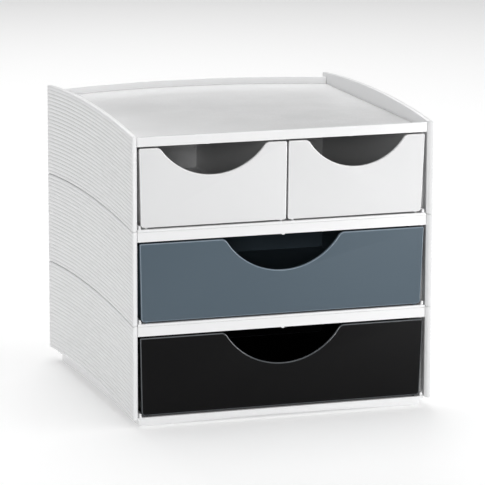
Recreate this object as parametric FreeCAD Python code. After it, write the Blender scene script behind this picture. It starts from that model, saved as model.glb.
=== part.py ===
import FreeCAD, Part
import math
import os
from FreeCAD import Vector

# Desk organizer: three stacked housings with four drawers.
# Frame: +X right, +Y to the back, +Z up, millimetres. The drawers open towards -Y.
# Origin: bottom centre of the whole object's box.
os.makedirs("parts", exist_ok=True)

# ---------------------------------------------------------------- driving sizes
W = 245.0                 # overall width over the rib crests
DEPTH = 265.0             # overall depth, side panel front edge to the bulge of the back
PITCH = 74.0              # height that each stacked module adds
PLINTH = 5.2              # plinth skirt height below a module's floor plate
RECESS = 5.2              # depth of the tray below its front lip
Y0 = -DEPTH / 2.0         # plane of the side panels' front edges

# side panels
PANEL_D = 251.5           # side panel depth, front to back
PANEL_IN = 118.0          # inner face, distance from the centre plane
PANEL_CORE = 122.1        # bottom of the grooves between the ribs
RIB_OUT = W / 2.0         # crest of the ribs
RIBS = 24                 # ribs on one panel
PANEL_H = 73.4            # panel height measured along the arc's radius
ARC_MID = 6.6             # rise of the panel's arched edges at mid depth
ARC_BACK = 2.2            # rise at the back end
SEAM = 1.0                # panel's bottom front corner above the floor plate's underside

# floor plate, deck and front bars
BAR_Y = 2.5               # bars and drawer fronts stand this far behind the panels' front edges
SHELF_W = 117.7           # half width of the bars, deck and floor plate's front edge
FLOOR_T = 2.0             # floor plate thickness
FLOOR_SIDE = 116.6        # half width of the floor plate behind its front edge
DECK_LOW = 66.4           # deck's underside above the floor plate's underside
DECK_T = PITCH - RECESS - DECK_LOW
LIP_T = 2.5               # front lip thickness
LIP_GAP = 0.1             # lip stops this far below the next floor plate
RAIL_H = 3.0              # guide rail height above the floor plate
SKIRT_X = 116.0           # plinth skirt half width
SKIRT_Y = BAR_Y + LIP_T + 0.4
SKIRT_T = 2.0
SKIRT_CORNER = 8.0
SKIRT_ARCH_FRONT = 1.4    # how far the skirt's lower edge arches up, front and back
SKIRT_ARCH_SIDE = 2.7     # and along the sides
LAND = 16.0               # flat landing left at each corner of the skirt

# curved back, seen from above
BACK_MID = 262.8          # inner face at the centre, from the front edge plane
BACK_END = 240.0          # inner face at the sides
BACK_T = 2.2

# drawers
FRONT_Y = 2.0             # upper edge of the fronts, behind the panels' front edges
FRONT_T = 2.4
FRONT_LOW = 3.0           # front's lower edge above the floor plate's underside
FRONT_TOP = 64.9          # front's upper edge
LEAN = math.degrees(math.atan2(2.2, FRONT_TOP - FRONT_LOW))   # moulding draft: the front leans in at its foot
FRONT_W_TOP = 116.1       # half width at the top edge
FRONT_W_LOW = 114.4       # half width at the lower edge
TUB_W_TOP = 113.9
TUB_W_LOW = 112.6
TUB_TOP = 60.0
TUB_LOW = 3.4
TUB_T = 1.8
TUB_BACK = 232.0          # outer face of the tub's back
RUN_H = 1.3               # glide ribs under the tub
SPLIT_L = 2.7             # the two small drawers meet a little right of the centre
SPLIT_R = 4.3
STOP_LOW = 3.0            # stop rib hangs this far below the deck
STOP_FRONT = 17.5         # front end of the stop rib
STOP_BACK = 32.5          # rear end of the stop rib
TRAVEL = TUB_BACK - TUB_T - STOP_BACK - 0.7   # drawer travel to the stop
LIFT = 30.0               # a module lifts clear of the recess below it


# ---------------------------------------------------------------- helpers
def yv(local):
    """Distance behind the panels' front edges -> frame Y."""
    return Y0 + local


def box(x0, x1, y0, y1, z0, z1):
    """Box from local y values."""
    return Part.makeBox(x1 - x0, y1 - y0, z1 - z0, Vector(x0, yv(y0), z0))


def rounded(points, radii):
    """Closed wire through 3-D points, each corner rounded by its own radius."""
    n = len(points)
    pts = [Vector(*p) for p in points]
    ends = []
    for i in range(n):
        p, a, b = pts[i], pts[i - 1], pts[(i + 1) % n]
        r = radii[i]
        if r <= 0:
            ends.append((p, None, p))
            continue
        u = (a - p).normalize()
        v = (b - p).normalize()
        ang = u.getAngle(v)
        t = r / math.tan(ang / 2.0)
        c = p + (u + v).normalize() * (r / math.sin(ang / 2.0))
        m = c + (p - c).normalize() * r
        ends.append((p + u * t, m, p + v * t))
    edges = []
    for i in range(n):
        s, m, e = ends[i]
        if m is not None:
            edges.append(Part.Arc(s, m, e).toShape())
        nxt = ends[(i + 1) % n][0]
        if (nxt - e).Length > 1e-6:
            edges.append(Part.LineSegment(e, nxt).toShape())
    return Part.Wire(edges)


def prism_y(points, radii, y0, y1):
    """Closed outline in X-Z, extruded along Y between two local y values."""
    w = rounded([(p[0], yv(y0), p[1]) for p in points], radii)
    return Part.Face(w).extrude(Vector(0, y1 - y0, 0))


def clean(s):
    s = s.removeSplitter()
    if s.ShapeType != "Solid":
        sol = s.Solids
        s = sol[0] if len(sol) == 1 else Part.makeCompound(sol)
    return s


def mirror_x(s):
    return s.mirror(Vector(0, 0, 0), Vector(1, 0, 0))


def base_z(m):
    """Underside of module m's floor plate."""
    return PLINTH + PITCH * m


# circle through three points of the arched edge, in local y and rise
def circle3(a, b, c):
    ax, ay = a
    bx, by = b
    cx, cy = c
    d = 2 * (ax * (by - cy) + bx * (cy - ay) + cx * (ay - by))
    ux = ((ax * ax + ay * ay) * (by - cy) + (bx * bx + by * by) * (cy - ay) + (cx * cx + cy * cy) * (ay - by)) / d
    uy = ((ax * ax + ay * ay) * (cx - bx) + (bx * bx + by * by) * (ax - cx) + (cx * cx + cy * cy) * (bx - ax)) / d
    return ux, uy, math.hypot(ax - ux, ay - uy)


ARC_Y, ARC_Z, ARC_R = circle3((0.0, 0.0), (PANEL_D / 2.0, ARC_MID), (PANEL_D, ARC_BACK))


def back_y(x, off=0.0):
    """Local y of the back's inner face at x; off moves it forward."""
    r = (PANEL_IN ** 2 + (BACK_MID - BACK_END) ** 2) / (2 * (BACK_MID - BACK_END))
    return BACK_MID - r + math.sqrt((r - off) ** 2 - x * x)


# ---------------------------------------------------------------- side panel
CLIPS = (40.0, 125.0, 210.0)     # clip stations along the depth
CLIP_W = 8.0
LUG_LOW, LUG_TOP = 0.1, 1.6      # the deck's lugs stay below its surface


def side_panel(m, right=True):
    """Ribbed side panel: arched lower and upper edge, ribs follow the arch."""
    zb = base_z(m)
    top = ARC_R                       # upper edge's radius
    low = ARC_R - PANEL_H
    # arc centre: upper edge's front corner is one pitch above the next seam, less the seam gap
    cz = zb + SEAM + PITCH - 0.2 + ARC_Z
    pitch = PANEL_H / RIBS
    prof = [(PANEL_IN, low)]
    for i in range(RIBS):
        r0 = low + i * pitch
        prof += [(PANEL_CORE, r0), (PANEL_CORE, r0 + 0.12 * pitch),
                 (RIB_OUT, r0 + 0.34 * pitch), (RIB_OUT, r0 + 0.78 * pitch)]
    prof += [(PANEL_CORE, top), (PANEL_IN, top)]
    pts = [Vector(x, yv(ARC_Y), cz + r) for x, r in prof]
    face = Part.Face(Part.makePolygon(pts + [pts[0]]))
    axis_p = Vector(0, yv(ARC_Y), cz)
    half = 7.0
    face.rotate(axis_p, Vector(1, 0, 0), half)
    s = face.revolve(axis_p, Vector(1, 0, 0), -2 * half)
    s = s.common(box(PANEL_IN - 1, RIB_OUT + 1, 0, PANEL_D, zb - 5, zb + PITCH + 30))
    # front edge: leans back towards the inside, with a wide bevel at the inner corner
    plan = [(RIB_OUT + 1.0, -1.0), (RIB_OUT - 0.2, 0.0), (119.6, 0.7), (PANEL_IN, 2.6), (PANEL_IN - 2.0, 2.6), (PANEL_IN - 2.0, -1.0)]
    pts = [Vector(x, yv(y), zb - 10.0) for x, y in plan]
    s = s.cut(Part.Face(Part.makePolygon(pts + [pts[0]])).extrude(Vector(0, 0, 120.0)))
    # shallow relief in the inner face, behind the front edge
    s = s.cut(box(PANEL_IN - 0.5, PANEL_IN + 1.3, 3.4, 14.0, zb + 3.0, zb + 65.8))
    # upright ribs that hold the back panel's end
    for y0 in (236.4, 244.6):
        s = s.fuse(box(PANEL_IN - 2.0, PANEL_IN + 0.5, y0, y0 + 1.8, zb + 9.5, zb + 65.5))
    # pockets for the deck's lugs and the floor's clip tabs
    for y in CLIPS:
        s = s.cut(box(PANEL_IN - 0.5, PANEL_IN + 1.6, y - CLIP_W / 2 - 0.2, y + CLIP_W / 2 + 0.2,
                      zb + DECK_LOW + LUG_LOW - 0.1, zb + DECK_LOW + LUG_TOP + 0.1))
        s = s.cut(box(PANEL_IN - 0.5, PANEL_IN + 1.6, y - CLIP_W / 2 - 0.2, y + CLIP_W / 2 + 0.2,
                      zb + 11.0, zb + 13.2))
    s = clean(s)
    return s if right else mirror_x(s)


# ---------------------------------------------------------------- floor with plinth
def plan_outline(half, y_front, off, corner, z):
    """Plan outline: straight front and sides, back edge following the curved back."""
    yb = back_y(half, off)
    ym = back_y(0.0, off)
    a = Vector(-half, yv(y_front), z)
    b = Vector(half, yv(y_front), z)
    c = Vector(half, yv(yb), z)
    d = Vector(-half, yv(yb), z)
    mid = Vector(0, yv(ym), z)
    w = Part.Wire([Part.LineSegment(a, b).toShape(), Part.LineSegment(b, c).toShape(),
                   Part.Arc(c, mid, d).toShape(), Part.LineSegment(d, a).toShape()])
    return Part.Face(w)


def vertical_fillet(s, radius, pick):
    es = [e for e in s.Edges
          if abs(e.Vertexes[0].Point.x - e.Vertexes[-1].Point.x) < 1e-6
          and abs(e.Vertexes[0].Point.y - e.Vertexes[-1].Point.y) < 1e-6
          and abs(e.Vertexes[0].Point.z - e.Vertexes[-1].Point.z) > 1e-3
          and pick(e.Vertexes[0].Point)]
    return s.makeFillet(radius, es) if es else s


def arch_cutter_x(y_span, zb, rise, x0, x1):
    """Arched space under the skirt's sides: profile in Y-Z, extruded along X."""
    z = zb - PLINTH
    a = Vector(x0, yv(y_span[0]), z - 1)
    a2 = Vector(x0, yv(y_span[0]), z)
    m = Vector(x0, yv((y_span[0] + y_span[1]) / 2), z + rise)
    b2 = Vector(x0, yv(y_span[1]), z)
    b = Vector(x0, yv(y_span[1]), z - 1)
    w = Part.Wire([Part.LineSegment(a, a2).toShape(), Part.Arc(a2, m, b2).toShape(),
                   Part.LineSegment(b2, b).toShape(), Part.LineSegment(b, a).toShape()])
    return Part.Face(w).extrude(Vector(x1 - x0, 0, 0))


def arch_cutter_y(x_span, zb, rise, y0, y1):
    z = zb - PLINTH
    a = Vector(x_span[0], yv(y0), z - 1)
    a2 = Vector(x_span[0], yv(y0), z)
    m = Vector((x_span[0] + x_span[1]) / 2, yv(y0), z + rise)
    b2 = Vector(x_span[1], yv(y0), z)
    b = Vector(x_span[1], yv(y0), z - 1)
    w = Part.Wire([Part.LineSegment(a, a2).toShape(), Part.Arc(a2, m, b2).toShape(),
                   Part.LineSegment(b2, b).toShape(), Part.LineSegment(b, a).toShape()])
    return Part.Face(w).extrude(Vector(0, y1 - y0, 0))


def floor_plate(m):
    """Floor plate with guide rails, clip tabs and the plinth skirt that nests below."""
    zb = base_z(m)
    s = plan_outline(FLOOR_SIDE, BAR_Y, 0.3, 0, zb).extrude(Vector(0, 0, FLOOR_T))
    # wider front edge, in line with the bars
    s = s.fuse(box(-SHELF_W, SHELF_W, BAR_Y, BAR_Y + 9, zb, zb + FLOOR_T))
    # skirt
    outer = plan_outline(SKIRT_X, SKIRT_Y, 1.4, 0, zb - PLINTH).extrude(Vector(0, 0, PLINTH))
    outer = vertical_fillet(outer, SKIRT_CORNER, lambda p: p.y > 0)
    outer = vertical_fillet(outer, 2.0, lambda p: p.y < 0)
    inner = plan_outline(SKIRT_X - SKIRT_T, SKIRT_Y + SKIRT_T, 1.4 + SKIRT_T, 0, zb - PLINTH - 1).extrude(Vector(0, 0, PLINTH + 1))
    inner = vertical_fillet(inner, SKIRT_CORNER - SKIRT_T, lambda p: p.y > 0)
    skirt = outer.cut(inner)
    yb = back_y(SKIRT_X, 1.4)
    skirt = skirt.cut(arch_cutter_x((SKIRT_Y + LAND, yb - LAND), zb, SKIRT_ARCH_SIDE, -SKIRT_X - 2, -SKIRT_X + SKIRT_T + 1))
    skirt = skirt.cut(arch_cutter_x((SKIRT_Y + LAND, yb - LAND), zb, SKIRT_ARCH_SIDE, SKIRT_X - SKIRT_T - 1, SKIRT_X + 2))
    skirt = skirt.cut(arch_cutter_y((-SKIRT_X + LAND, SKIRT_X - LAND), zb, SKIRT_ARCH_FRONT, SKIRT_Y - 1, SKIRT_Y + SKIRT_T + 1))
    skirt = skirt.cut(arch_cutter_y((-SKIRT_X + LAND + 12, SKIRT_X - LAND - 12), zb, SKIRT_ARCH_FRONT, 236, 264))
    s = s.fuse(skirt)
    # guide rails: upright outer face, inner face leaning with the drawer's side
    for sgn in (-1, 1):
        pts = [(sgn * 114.6, zb + FLOOR_T - 0.3), (sgn * FLOOR_SIDE, zb + FLOOR_T - 0.3),
               (sgn * FLOOR_SIDE, zb + FLOOR_T + RAIL_H), (sgn * 115.1, zb + FLOOR_T + RAIL_H)]
        s = s.fuse(prism_y(pts, [0, 0, 0, 0], BAR_Y + 0.8, 236.0))
        for y in CLIPS:
            xa, xb = sorted((sgn * 114.7, sgn * FLOOR_SIDE))
            s = s.fuse(box(xa, xb, y - CLIP_W / 2, y + CLIP_W / 2, zb + 1.0, zb + 14.0))
            xa, xb = sorted((sgn * 116.0, sgn * (PANEL_IN + 1.3)))
            s = s.fuse(box(xa, xb, y - CLIP_W / 2, y + CLIP_W / 2, zb + 11.2, zb + 13.0))
    if m == 2:
        for y in (40.0, 120.0, 200.0):
            xc = (SPLIT_L + SPLIT_R) / 2
            s = s.cut(box(xc - 0.9, xc + 0.9, y - 3.1, y + 3.1, zb - 1, zb + FLOOR_T + 1))
    return clean(s)


# ---------------------------------------------------------------- deck with front lip
def deck(m):
    """Top deck: tray surface below a front lip, stop ribs underneath."""
    zb = base_z(m)
    z0 = zb + DECK_LOW
    s = plan_outline(SHELF_W, BAR_Y, 0.3, 0, z0).extrude(Vector(0, 0, DECK_T))
    lip = box(-SHELF_W, SHELF_W, BAR_Y, BAR_Y + LIP_T, z0, zb + PITCH - LIP_GAP)
    s = s.fuse(lip)
    for sgn in (-1, 1):
        for y in CLIPS:
            xa, xb = sorted((sgn * 116.0, sgn * (PANEL_IN + 1.3)))
            s = s.fuse(box(xa, xb, y - CLIP_W / 2, y + CLIP_W / 2, z0 + LUG_LOW, z0 + LUG_TOP))
    for xc in stops(m):
        s = s.fuse(prism_y([(xc - 2.0, z0 - STOP_LOW), (xc + 2.0, z0 - STOP_LOW), (xc + 2.0, z0 + 0.5), (xc - 2.0, z0 + 0.5)],
                           [1.2, 1.2, 0, 0], STOP_FRONT, STOP_BACK))
        if m < 2:
            # low root of the rib, up to the front bar
            s = s.fuse(prism_y([(xc - 1.1, z0 - 0.9), (xc + 1.1, z0 - 0.9), (xc + 1.1, z0 + 0.5), (xc - 1.1, z0 + 0.5)],
                               [0.5, 0.5, 0, 0], BAR_Y + 0.3, STOP_FRONT + 0.5))
    return clean(s)


def stops(m):
    if m == 2:
        return [(-FRONT_W_TOP + SPLIT_L) / 2.0, (SPLIT_R + FRONT_W_TOP) / 2.0]
    return [0.0]


# ---------------------------------------------------------------- curved back panel
def back_panel(m):
    zb = base_z(m)
    z0, z1 = zb + 0.6, zb + PITCH + 0.4
    x = SHELF_W
    def q(px, off):
        return Vector(px, yv(back_y(px, off)), z0)

    # each face of the panel is two arcs that meet on the centre plane
    w = Part.Wire([Part.Arc(q(-x, 0), q(-x / 2, 0), q(0, 0)).toShape(), Part.Arc(q(0, 0), q(x / 2, 0), q(x, 0)).toShape(),
                   Part.LineSegment(q(x, 0), q(x, -BACK_T)).toShape(),
                   Part.Arc(q(x, -BACK_T), q(x / 2, -BACK_T), q(0, -BACK_T)).toShape(),
                   Part.Arc(q(0, -BACK_T), q(-x / 2, -BACK_T), q(-x, -BACK_T)).toShape(),
                   Part.LineSegment(q(-x, -BACK_T), q(-x, 0)).toShape()])
    return Part.Face(w).extrude(Vector(0, 0, z1 - z0))


# ---------------------------------------------------------------- centre guide
def center_guide():
    """Low rail between the two small drawers, held by three tongues in the floor."""
    zb = base_z(2)
    xc = (SPLIT_L + SPLIT_R) / 2
    z0 = zb + FLOOR_T
    s = prism_y([(xc - 1.9, z0), (xc + 1.9, z0), (xc + 1.9, z0 + 0.9), (xc + 0.8, z0 + 1.5), (xc + 0.8, z0 + 14.0),
                 (xc - 0.8, z0 + 14.0), (xc - 0.8, z0 + 1.5), (xc - 1.9, z0 + 0.9)], [0, 0, 0, 0, 0.5, 0.5, 0, 0], 14.0, 234.0)
    for y in (40.0, 120.0, 200.0):
        s = s.fuse(box(xc - 0.8, xc + 0.8, y - 3.0, y + 3.0, zb + 0.2, z0 + 0.5))
    return clean(s)


# ---------------------------------------------------------------- drawers
def drawer(m, left, right, scoop_half, scoop_deep, shoulder):
    """Open-topped tub with a tapered front, cut by a round finger scoop.
    left and right are (x at the top edge, x at the lower edge, x of tub at top, x of tub at bottom)."""
    zb = base_z(m)
    zl, zt = zb + FRONT_LOW, zb + FRONT_TOP
    (lt, ll, ltt, ltl), (rt, rl, rtt, rtl) = left, right
    xc = (lt + rt) / 2.0
    rr = (scoop_half ** 2 + scoop_deep ** 2) / (2 * scoop_deep)
    # front outline, lower left corner first, scoop in the top edge
    pts = [(ll, zl), (rl, zl), (rt, zt), (lt, zt)]
    corners = [2.8 if abs(ll) > 50 else 1.4, 2.8 if abs(rl) > 50 else 1.4, 1.0, 1.0]
    front = prism_y(pts, corners, FRONT_Y, FRONT_Y + FRONT_T)
    cyl = Part.makeCylinder(rr, FRONT_T + 4, Vector(xc, yv(FRONT_Y - 2), zt - scoop_deep + rr), Vector(0, 1, 0))
    front = front.cut(cyl)
    es = [e for e in front.Edges if len(e.Vertexes) == 2
          and abs(e.Vertexes[0].Point.x - e.Vertexes[1].Point.x) < 1e-6
          and abs(e.Vertexes[0].Point.z - zt) < 1e-4 and abs(e.Vertexes[1].Point.z - zt) < 1e-4
          and abs(abs(e.Vertexes[0].Point.x - xc) - scoop_half) < 1.0]
    front = front.makeFillet(shoulder, es)
    # round the front's face edges
    face_edges = [e for e in front.Edges if all(abs(v.Point.y - yv(FRONT_Y)) < 1e-5 for v in e.Vertexes)]
    try:
        f2 = front.makeFillet(0.9, face_edges)
        if f2.isValid() and f2.Volume > 0.9 * front.Volume:
            front = f2
    except Exception as ex:
        print("front edge rounding skipped", ex)
    # the whole front leans in at its foot, about its upper edge
    hinge = Vector(0, yv(FRONT_Y), zt)
    front.rotate(hinge, Vector(1, 0, 0), LEAN)

    def ahead(off):
        b = box(-140, 140, FRONT_Y - 30, FRONT_Y + off, zl - 25, zt + 25)
        b.rotate(hinge, Vector(1, 0, 0), LEAN)
        return b

    # tub
    z1, z2 = zb + TUB_LOW, zb + TUB_TOP
    outer = [(ltl, z1), (rtl, z1), (rtt, z2), (ltt, z2)]
    inner = [(ltl + TUB_T, z1 + TUB_T), (rtl - TUB_T, z1 + TUB_T), (rtt - TUB_T, z2 + 1), (ltt + TUB_T, z2 + 1)]
    tub = prism_y(outer, [3.2, 3.2, 0, 0], FRONT_Y, TUB_BACK).cut(ahead(FRONT_T - 0.6))
    hollow = prism_y(inner, [2.2, 2.2, 0, 0], FRONT_Y, TUB_BACK - TUB_T).cut(ahead(FRONT_T))
    tub = tub.cut(hollow)
    # the scoop runs through the tub's front edge as well
    cyl2 = Part.makeCylinder(rr, FRONT_T + 4, Vector(xc, yv(FRONT_Y - 2), zt - scoop_deep + rr), Vector(0, 1, 0))
    cyl2.rotate(hinge, Vector(1, 0, 0), LEAN)
    tub = tub.cut(cyl2)
    s = front.fuse(tub)
    # catch on the back: rises in the middle to meet the stop rib
    s = s.fuse(prism_y([(xc - 22, z2 - 3), (xc + 22, z2 - 3), (xc + 18, zt), (xc - 18, zt)], [0, 0, 2.0, 2.0], TUB_BACK - TUB_T, TUB_BACK))
    # glide ribs underneath
    for x in (ltl + 2.6, rtl - 2.6):
        s = s.fuse(box(x - 0.85, x + 0.85, FRONT_Y + 3.1, TUB_BACK - 2, zb + FLOOR_T + 0.1, z1 + 0.4))
    return clean(s)


BIG_L = (-FRONT_W_TOP, -FRONT_W_LOW, -TUB_W_TOP, -TUB_W_LOW)
BIG_R = (FRONT_W_TOP, FRONT_W_LOW, TUB_W_TOP, TUB_W_LOW)
MID_L = (SPLIT_L, SPLIT_L, SPLIT_L - 0.9, SPLIT_L - 1.3)
MID_R = (SPLIT_R, SPLIT_R, SPLIT_R + 0.9, SPLIT_R + 1.3)


def build():
    out = {}
    for m, name in enumerate(("bottom", "middle", "top")):
        out[name + "_floor"] = floor_plate(m)
        out[name + "_deck"] = deck(m)
        out[name + "_back_panel"] = back_panel(m)
        out[name + "_left_side"] = side_panel(m, False)
        out[name + "_right_side"] = side_panel(m, True)
    out["small_drawer_left"] = drawer(2, BIG_L, MID_L, 43.0, 23.0, 5.0)
    out["small_drawer_right"] = drawer(2, MID_R, BIG_R, 40.0, 22.8, 5.0)
    out["middle_drawer"] = drawer(1, BIG_L, BIG_R, 47.2, 27.2, 6.0)
    out["bottom_drawer"] = drawer(0, BIG_L, BIG_R, 47.2, 27.2, 6.0)
    out["center_guide"] = center_guide()
    return out


parts = build()
lo = [1e9] * 3
hi = [-1e9] * 3
for name, s in parts.items():
    bb = s.BoundBox
    print("%-22s %s valid=%s solids=%d vol=%.0f  x %.2f..%.2f y %.2f..%.2f z %.2f..%.2f" % (
        name, s.ShapeType, s.isValid(), len(s.Solids), s.Volume, bb.XMin, bb.XMax, bb.YMin, bb.YMax, bb.ZMin, bb.ZMax))
    lo = [min(a, b) for a, b in zip(lo, (bb.XMin, bb.YMin, bb.ZMin))]
    hi = [max(a, b) for a, b in zip(hi, (bb.XMax, bb.YMax, bb.ZMax))]
    s.exportStep("parts/" + name + ".step")
print("overall", [round(v, 3) for v in lo], [round(v, 3) for v in hi])
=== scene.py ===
import bpy
import bmesh
import math
from mathutils import Vector, Matrix


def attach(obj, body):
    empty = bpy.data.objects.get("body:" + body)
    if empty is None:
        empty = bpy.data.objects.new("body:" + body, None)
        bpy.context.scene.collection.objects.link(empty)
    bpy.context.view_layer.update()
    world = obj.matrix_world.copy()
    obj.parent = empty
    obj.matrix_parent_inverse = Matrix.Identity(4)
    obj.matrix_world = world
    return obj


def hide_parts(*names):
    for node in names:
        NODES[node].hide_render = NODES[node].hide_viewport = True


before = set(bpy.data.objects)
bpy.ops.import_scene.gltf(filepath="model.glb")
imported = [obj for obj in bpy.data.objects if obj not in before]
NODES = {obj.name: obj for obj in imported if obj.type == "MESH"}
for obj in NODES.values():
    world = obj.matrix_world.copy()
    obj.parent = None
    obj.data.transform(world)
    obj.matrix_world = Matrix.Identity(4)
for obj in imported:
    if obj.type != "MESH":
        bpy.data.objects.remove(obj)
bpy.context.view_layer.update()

# ------------------------------------------------------------------ sizes, in millimetres, as in the CAD
Y0 = -132.5
PITCH, PLINTH = 74.0, 5.2
PANEL_D, PANEL_IN, PANEL_CORE, RIB_OUT = 251.5, 118.0, 122.1, 122.5
RIBS, PANEL_H, ARC_MID, ARC_BACK, SEAM = 24, 73.4, 6.6, 2.2, 1.0
BAR_Y, FRONT_T = 2.5, 2.4
FRONT_LOW, FRONT_TOP, FRONT_W_TOP, FRONT_W_LOW = 3.3, 64.9, 115.7, 113.8
TUB_W_TOP, TUB_W_LOW, TUB_TOP, TUB_LOW, TUB_T, TUB_BACK = 113.9, 112.6, 60.0, 3.4, 1.8, 232.0
SPLIT_L, SPLIT_R = 3.1, 4.7
MM = 0.001


def base_z(m):
    return PLINTH + PITCH * m


# ------------------------------------------------------------------ materials
def new_mat(name):
    m = bpy.data.materials.new(name)
    m.use_nodes = True
    nt = m.node_tree
    return m, nt, nt.nodes["Principled BSDF"]


def plastic(name, color, dark, light, rough, spread, spec=0.5, coat=0.0, coat_rough=0.05, grain=900.0, bump=0.02,
            peel=60.0, peel_bump=0.03, ior=1.5, edge=None, edge_amount=0.5):
    """Moulded plastic: a slow drift of tone, a fine grain in the gloss, a faint orange-peel flow in the surface, and,
    when an edge colour is given, a painted highlight: a lighter colour on sharp convex edges."""
    m, nt, b = new_mat(name)
    N, L = nt.nodes, nt.links
    tc = N.new("ShaderNodeTexCoord")
    # slow tone drift
    drift = N.new("ShaderNodeTexNoise")
    drift.inputs["Scale"].default_value = 9.0
    drift.inputs["Detail"].default_value = 3.0
    L.new(tc.outputs["Object"], drift.inputs["Vector"])
    ramp = N.new("ShaderNodeMix")
    ramp.data_type = "RGBA"
    ramp.inputs[6].default_value = (*dark, 1)
    ramp.inputs[7].default_value = (*light, 1)
    L.new(drift.outputs["Fac"], ramp.inputs[0])
    col = ramp.outputs[2]
    # painted highlight: the colour is lightened towards the edge colour where pointiness marks a sharp convex edge
    if edge is not None:
        geo = N.new("ShaderNodeNewGeometry")
        er = N.new("ShaderNodeMapRange")
        er.inputs["From Min"].default_value = 0.54
        er.inputs["From Max"].default_value = 0.66
        er.inputs["To Max"].default_value = edge_amount
        er.clamp = True
        L.new(geo.outputs["Pointiness"], er.inputs["Value"])
        em = N.new("ShaderNodeMix")
        em.data_type = "RGBA"
        L.new(er.outputs["Result"], em.inputs[0])
        L.new(col, em.inputs[6])
        em.inputs[7].default_value = (*edge, 1)
        col = em.outputs[2]
    L.new(col, b.inputs["Base Color"])
    # gloss varies with a fine grain and with slow smears
    gr = N.new("ShaderNodeTexNoise")
    gr.inputs["Scale"].default_value = grain
    gr.inputs["Detail"].default_value = 4.0
    L.new(tc.outputs["Object"], gr.inputs["Vector"])
    sm = N.new("ShaderNodeTexNoise")
    sm.inputs["Scale"].default_value = 22.0
    sm.inputs["Detail"].default_value = 5.0
    sm.inputs["Roughness"].default_value = 0.6
    L.new(tc.outputs["Object"], sm.inputs["Vector"])
    mx = N.new("ShaderNodeMath")
    mx.operation = "MULTIPLY"
    L.new(gr.outputs["Fac"], mx.inputs[0])
    L.new(sm.outputs["Fac"], mx.inputs[1])
    rr = N.new("ShaderNodeMapRange")
    rr.inputs["From Min"].default_value = 0.1
    rr.inputs["From Max"].default_value = 0.45
    rr.inputs["To Min"].default_value = rough - spread
    rr.inputs["To Max"].default_value = rough + spread
    L.new(mx.outputs["Value"], rr.inputs["Value"])
    L.new(rr.outputs["Result"], b.inputs["Roughness"])
    # surface: fine grain over a wide, very shallow flow
    pe = N.new("ShaderNodeTexNoise")
    pe.inputs["Scale"].default_value = peel
    pe.inputs["Detail"].default_value = 2.0
    L.new(tc.outputs["Object"], pe.inputs["Vector"])
    b1 = N.new("ShaderNodeBump")
    b1.inputs["Strength"].default_value = peel_bump
    b1.inputs["Distance"].default_value = 0.002
    L.new(pe.outputs["Fac"], b1.inputs["Height"])
    b2 = N.new("ShaderNodeBump")
    b2.inputs["Strength"].default_value = bump
    b2.inputs["Distance"].default_value = 0.0004
    L.new(gr.outputs["Fac"], b2.inputs["Height"])
    L.new(b1.outputs["Normal"], b2.inputs["Normal"])
    L.new(b2.outputs["Normal"], b.inputs["Normal"])
    b.inputs["IOR"].default_value = ior
    b.inputs["Specular IOR Level"].default_value = spec
    b.inputs["Coat Weight"].default_value = coat
    b.inputs["Coat Roughness"].default_value = coat_rough
    return m


WHITE_GLOSS = plastic("white_gloss", None, (0.865, 0.868, 0.872), (0.895, 0.897, 0.900), 0.20, 0.05, bump=0.03)
WHITE_SATIN = plastic("white_satin", None, (0.925, 0.927, 0.93), (0.95, 0.951, 0.953), 0.40, 0.08, bump=0.08)
RIBBED = plastic("white_ribbed", None, (0.825, 0.828, 0.832), (0.845, 0.848, 0.852), 0.42, 0.06, bump=0.04, peel_bump=0.004,
                 spec=0.35)
DRAWER_WHITE = plastic("drawer_white", None, (0.765, 0.768, 0.773), (0.79, 0.792, 0.796), 0.38, 0.06, bump=0.03,
                       spec=0.25)
DRAWER_SLATE = plastic("drawer_slate", None, (0.086, 0.118, 0.147), (0.095, 0.129, 0.158), 0.40, 0.06, bump=0.03,
                       spec=0.14)
DRAWER_BLACK = plastic("drawer_black", None, (0.0016, 0.0016, 0.0018), (0.0026, 0.0026, 0.0030), 0.40, 0.06, bump=0.03,
                       spec=0.11)
# rims of the same plastics: shinier (lower roughness, more specular), and lighter in colour, which is painted
# highlight on the rounded edges
WHITE_HIGHLIGHT_RIM = plastic("white_rim_painted_highlight", None, (0.93, 0.932, 0.935), (0.96, 0.96, 0.96), 0.12, 0.03, bump=0.02, spec=0.9)
SLATE_HIGHLIGHT_RIM = plastic("slate_rim_painted_highlight", None, (0.19, 0.245, 0.30), (0.23, 0.29, 0.345), 0.18, 0.04, bump=0.02, spec=0.7)
BLACK_HIGHLIGHT_RIM = plastic("black_rim_painted_highlight", None, (0.070, 0.078, 0.086), (0.100, 0.109, 0.118), 0.18, 0.04, bump=0.02, spec=0.7)


# ------------------------------------------------------------------ mesh helpers
def make(name, verts, faces, mat, body, nodes, sharp=32.0):
    me = bpy.data.meshes.new(name)
    me.from_pydata([(x * MM, (y + Y0) * MM, z * MM) for x, y, z in verts], [], faces)
    return finish_mesh(name, me, mat, body, nodes, sharp)


def finish_mesh(name, me, mat, body, nodes, sharp=32.0):
    bm = bmesh.new()
    bm.from_mesh(me)
    bmesh.ops.recalc_face_normals(bm, faces=bm.faces)
    bm.to_mesh(me)
    bm.free()
    for p in me.polygons:
        p.use_smooth = True
    me.set_sharp_from_angle(angle=math.radians(sharp))
    me.materials.clear()
    me.materials.append(mat)
    ob = bpy.data.objects.new(name, me)
    bpy.context.scene.collection.objects.link(ob)
    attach(ob, body)
    if nodes:
        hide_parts(*nodes)
    return ob


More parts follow.
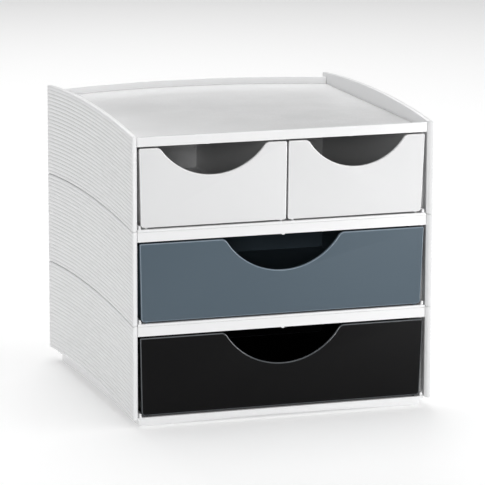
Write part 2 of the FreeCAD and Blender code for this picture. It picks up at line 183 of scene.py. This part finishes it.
def from_cad(node, name, mat, body, width=0.45, segments=3, limit=35.0, highlight_rim=None, highlight_rim_faces=None):
    """A piece with the CAD node's shape, its flat faces merged and every hard edge rounded. The rounded edges, and the
    faces that the face test picks, take the second material: a shinier plastic whose lighter colour is painted
    highlight."""
    src = NODES[node].data
    bm = bmesh.new()
    bm.from_mesh(src)
    bmesh.ops.remove_doubles(bm, verts=bm.verts, dist=2e-6)
    bmesh.ops.dissolve_limit(bm, angle_limit=math.radians(0.6), use_dissolve_boundaries=False,
                             verts=bm.verts, edges=bm.edges)
    highlight_rim_picked = []
    if highlight_rim_faces is not None:
        bm.normal_update()
        bm.faces.ensure_lookup_table()
        highlight_rim_picked = [i for i, f in enumerate(bm.faces) if highlight_rim_faces(f.calc_center_median(), f.normal)]
    me = bpy.data.meshes.new(name)
    bm.to_mesh(me)
    bm.free()
    ob = finish_mesh(name, me, mat, body, [node])
    # the second material's lighter colour on these faces and on the bevelled edges is painted highlight
    if highlight_rim is not None:
        me.materials.append(highlight_rim)
        for i in highlight_rim_picked:
            me.polygons[i].material_index = 1
    bv = ob.modifiers.new("edges", "BEVEL")
    if highlight_rim is not None:
        bv.material = 1
    bv.width = width * MM
    bv.segments = segments
    bv.limit_method = "ANGLE"
    bv.angle_limit = math.radians(limit)
    bv.harden_normals = True
    bv.use_clamp_overlap = True
    return ob


# ------------------------------------------------------------------ ribbed side panels
def circle3(a, b, c):
    (ax, ay), (bx, by), (cx, cy) = a, b, c
    d = 2 * (ax * (by - cy) + bx * (cy - ay) + cx * (ay - by))
    ux = ((ax * ax + ay * ay) * (by - cy) + (bx * bx + by * by) * (cy - ay) + (cx * cx + cy * cy) * (ay - by)) / d
    uy = ((ax * ax + ay * ay) * (cx - bx) + (bx * bx + by * by) * (ax - cx) + (cx * cx + cy * cy) * (bx - ax)) / d
    return ux, uy, math.hypot(ax - ux, ay - uy)


ARC_Y, ARC_Z, ARC_R = circle3((0.0, 0.0), (PANEL_D / 2.0, ARC_MID), (PANEL_D, ARC_BACK))


def side_panel(m, name, sgn):
    zb = base_z(m)
    cz = zb + SEAM + PITCH - 0.2 + ARC_Z
    low, top = ARC_R - PANEL_H, ARC_R
    per = 10                                   # points on one rib
    n = RIBS * per
    rnd = 0.9                                  # rounding of the long edges
    # height stations, and the outer face's reach at each
    rows = []
    for i in range(n + 1):
        t = i / n
        r = low + PANEL_H * t
        s = (t * RIBS) % 1.0
        f = abs(math.sin(math.pi * s)) ** 0.5
        rows.append((r, PANEL_CORE + (RIB_OUT - PANEL_CORE) * f))
    # depth stations: outer y, how far the outer face is drawn in, inner y, inner face's x
    st = [(0.0, 0.55, 0.70, 119.60), (0.08, 0.25, 0.95, 119.36), (0.28, 0.07, 1.65, 118.80), (0.60, 0.0, 2.40, 118.18),
          (1.20, 0.0, 2.80, 118.0), (3.3, 0.0, 3.38, 118.0), (3.36, 0.0, 3.44, 119.3), (8.0, 0.0, 8.0, 119.3),
          (13.9, 0.0, 13.94, 119.3), (14.0, 0.0, 14.0, 118.0)]
    k = 26
    st += [(14.0 + (PANEL_D - 0.8 - 14.0) * i / k, 0.0, 14.0 + (PANEL_D - 0.8 - 14.0) * i / k, 118.0) for i in range(1, k + 1)]
    st += [(PANEL_D - 0.5, 0.07, PANEL_D - 0.5, 118.07), (PANEL_D - 0.23, 0.24, PANEL_D - 0.23, 118.24),
           (PANEL_D - 0.06, 0.5, PANEL_D - 0.06, 118.5), (PANEL_D, 0.8, PANEL_D, 118.8)]
    verts, faces = [], []
    cols = len(rows)

    def z_at(r, y):
        return cz + math.sqrt(r * r - (y - ARC_Y) ** 2)

    for yo, d, yi, xin in st:
        for side in (0, 1):
            y = yo if side else yi
            for r, xo in rows:
                # the long upper and lower edges are rounded
                e = min(r - low, top - r)
                q = 0.0
                if e < rnd:
                    q = rnd - math.sqrt(max(0.0, rnd * rnd - (rnd - e) ** 2))
                z = z_at(r, y)
                if side:
                    x = xo - q * 0.9 - d
                else:
                    x = xin if not (xin > 119.29 and 3.4 < yi < 13.99 and not zb + 3.0 < z < zb + 65.8) else 118.0
                    x += q * 0.55
                verts.append((sgn * x, y, z))
    ring = 2 * cols
    for j in range(len(st) - 1):
        a, b = j * ring, (j + 1) * ring
        for i in range(cols - 1):
            faces.append((a + i, a + i + 1, b + i + 1, b + i))
            faces.append((a + cols + i + 1, a + cols + i, b + cols + i, b + cols + i + 1))
        for i in (0, cols - 1):
            f = (a + i, a + cols + i, b + cols + i, b + i)
            faces.append(f if i == 0 else f[::-1])
    for j in (0, len(st) - 1):
        a = j * ring
        for i in range(cols - 1):
            faces.append((a + i, a + i + 1, a + cols + i + 1, a + cols + i))
    return verts, faces


def box_mesh(x0, x1, y0, y1, z0, z1, off):
    v = [(x, y, z) for x in (x0, x1) for y in (y0, y1) for z in (z0, z1)]
    f = [(0, 1, 3, 2), (4, 6, 7, 5), (0, 4, 5, 1), (2, 3, 7, 6), (0, 2, 6, 4), (1, 5, 7, 3)]
    return v, [tuple(i + off for i in q) for q in f]


MODS = ("bottom", "middle", "top")
for m, mod in enumerate(MODS):
    zb = base_z(m)
    for side, sgn in (("left", -1), ("right", 1)):
        v, f = side_panel(m, mod, sgn)
        for y0 in (236.4, 244.6):
            x0, x1 = sorted((sgn * (PANEL_IN - 2.0), sgn * (PANEL_IN + 0.5)))
            bv, bf = box_mesh(x0, x1, y0, y0 + 1.8, zb + 9.5, zb + 65.5, len(v))
            v += bv
            f += bf
        make("%s_%s_ribbed_side" % (mod, side), v, f, RIBBED, mod + "_module", ["%s_%s_side" % (mod, side)], 40.0)
    # the rounded edges of decks and floor plates take the white rim, a shinier plastic with a painted highlight colour
    from_cad(mod + "_deck", mod + "_tray_deck", WHITE_GLOSS, mod + "_module", 0.55, highlight_rim=WHITE_HIGHLIGHT_RIM)
    from_cad(mod + "_floor", mod + "_floor_plate", WHITE_GLOSS, mod + "_module", 0.4, highlight_rim=WHITE_HIGHLIGHT_RIM)
    from_cad(mod + "_back_panel", mod + "_curved_back", WHITE_SATIN, mod + "_module", 0.6)
from_cad("center_guide", "center_guide_rail", WHITE_SATIN, "top_module", 0.25)


def front_highlight_rim(center, normal):
    """The rounding round a drawer front's face; these faces take the lighter rim colour, a painted highlight."""
    return center.y < (Y0 + 4.6) * MM + 0.0 and -0.985 < normal.y < -0.12


# each drawer's rounded edges and front rounding take a shinier rim plastic whose lighter colour is painted highlight
for node, mat, highlight_rim, slot in (("small_drawer_left", DRAWER_WHITE, WHITE_HIGHLIGHT_RIM, "drawer_white"),
                             ("small_drawer_right", DRAWER_WHITE, WHITE_HIGHLIGHT_RIM, "drawer_white"),
                             ("middle_drawer", DRAWER_SLATE, SLATE_HIGHLIGHT_RIM, "drawer_slate"),
                             ("bottom_drawer", DRAWER_BLACK, BLACK_HIGHLIGHT_RIM, "drawer_black")):
    from_cad(node, node + "_tub", mat, node + "_body", 0.5, highlight_rim=highlight_rim, highlight_rim_faces=front_highlight_rim)

# ------------------------------------------------------------------ floor, light, camera
def stage_plane(name, size, z, mat):
    me = bpy.data.meshes.new(name)
    s = size / 2
    me.from_pydata([(-s, -s, z), (s, -s, z), (s, s, z), (-s, s, z)], [], [(0, 1, 2, 3)])
    me.materials.append(mat)
    ob = bpy.data.objects.new(name, me)
    bpy.context.scene.collection.objects.link(ob)
    return ob


fm, fnt, fb = new_mat("studio_floor")
fb.inputs["Base Color"].default_value = (0.82, 0.82, 0.82, 1)
fb.inputs["Roughness"].default_value = 0.7
fb.inputs["Specular IOR Level"].default_value = 0.1
fb.inputs["Emission Color"].default_value = (1, 1, 1, 1)
fb.inputs["Emission Strength"].default_value = 0.26
floor = stage_plane("studio_floor", 40.0, -0.0002, fm)

world = bpy.data.worlds.new("studio")
bpy.context.scene.world = world
world.use_nodes = True
wn = world.node_tree
bg = wn.nodes["Background"]
bg.inputs["Color"].default_value = (1, 1, 1, 1)
bg.inputs["Strength"].default_value = 0.2


def area(name, loc, target, size, power, color=(1, 1, 1)):
    d = bpy.data.lights.new(name, "AREA")
    d.shape = "RECTANGLE"
    d.size, d.size_y = size
    d.energy = power
    d.color = color
    o = bpy.data.objects.new(name, d)
    bpy.context.scene.collection.objects.link(o)
    o.location = loc
    o.rotation_euler = (Vector(target) - Vector(loc)).to_track_quat("-Z", "Y").to_euler()
    o.visible_camera = False
    return o


area("top", (0.0, 0.2, 2.2), (0, 0, 0), (2.0, 2.0), 23)
area("top_front", (0.8, -1.2, 2.0), (0, 0, 0), (1.2, 1.2), 6.2)
area("right", (2.3, -0.6, 1.0), (0, 0, 0.1), (1.2, 1.2), 13.5)
area("left_low", (-2.3, -0.2, 0.5), (0, 0, 0.1), (1.0, 0.8), 8.2)
area("back", (0.3, 1.9, 1.6), (0, 0, 0.1), (1.4, 1.0), 16)
area("low_card", (0.48, -0.62, 0.07), (0.1, -0.13, 0.1), (0.4, 0.12), 1.1)
area("front_fill", (-0.85, -2.65, 0.70), (0, 0, 0.12), (0.3, 0.3), 12.0)

# camera: long lens, from the front left, a little above
AZ, EL, ROLL = math.radians(-17.95), math.radians(11.52), math.radians(0.09)
K = 0.24500 / 316.0
F_PX, CX, CY, DIST = 3508.34, 241.38, 239.22, 3638.29
fwd = Vector((-math.sin(AZ) * math.cos(EL), math.cos(AZ) * math.cos(EL), -math.sin(EL)))
rgt = Vector((math.cos(AZ), math.sin(AZ), 0.0))
up = rgt.cross(fwd)
R = rgt * math.cos(ROLL) + up * math.sin(ROLL)
U = -rgt * math.sin(ROLL) + up * math.cos(ROLL)
pivot = Vector((0.0, 140.0, 150.0 + 5.6)) * K + Vector((0, Y0 * MM, 0))
ox = (CX - 242.5) / F_PX * DIST * K
oy = -(CY - 242.5) / F_PX * DIST * K
loc = pivot - fwd * DIST * K - R * ox - U * oy
cam_d = bpy.data.cameras.new("camera")
cam = bpy.data.objects.new("camera", cam_d)
bpy.context.scene.collection.objects.link(cam)
cam_d.sensor_width = 36.0
cam_d.lens = F_PX / 485.0 * 36.0
cam_d.clip_start, cam_d.clip_end = 0.05, 60.0
M3 = Matrix((R, U, -fwd)).transposed()
cam.matrix_world = Matrix.Translation(loc) @ M3.to_4x4()
bpy.context.scene.camera = cam
bpy.context.scene.view_settings.view_transform = "Standard"
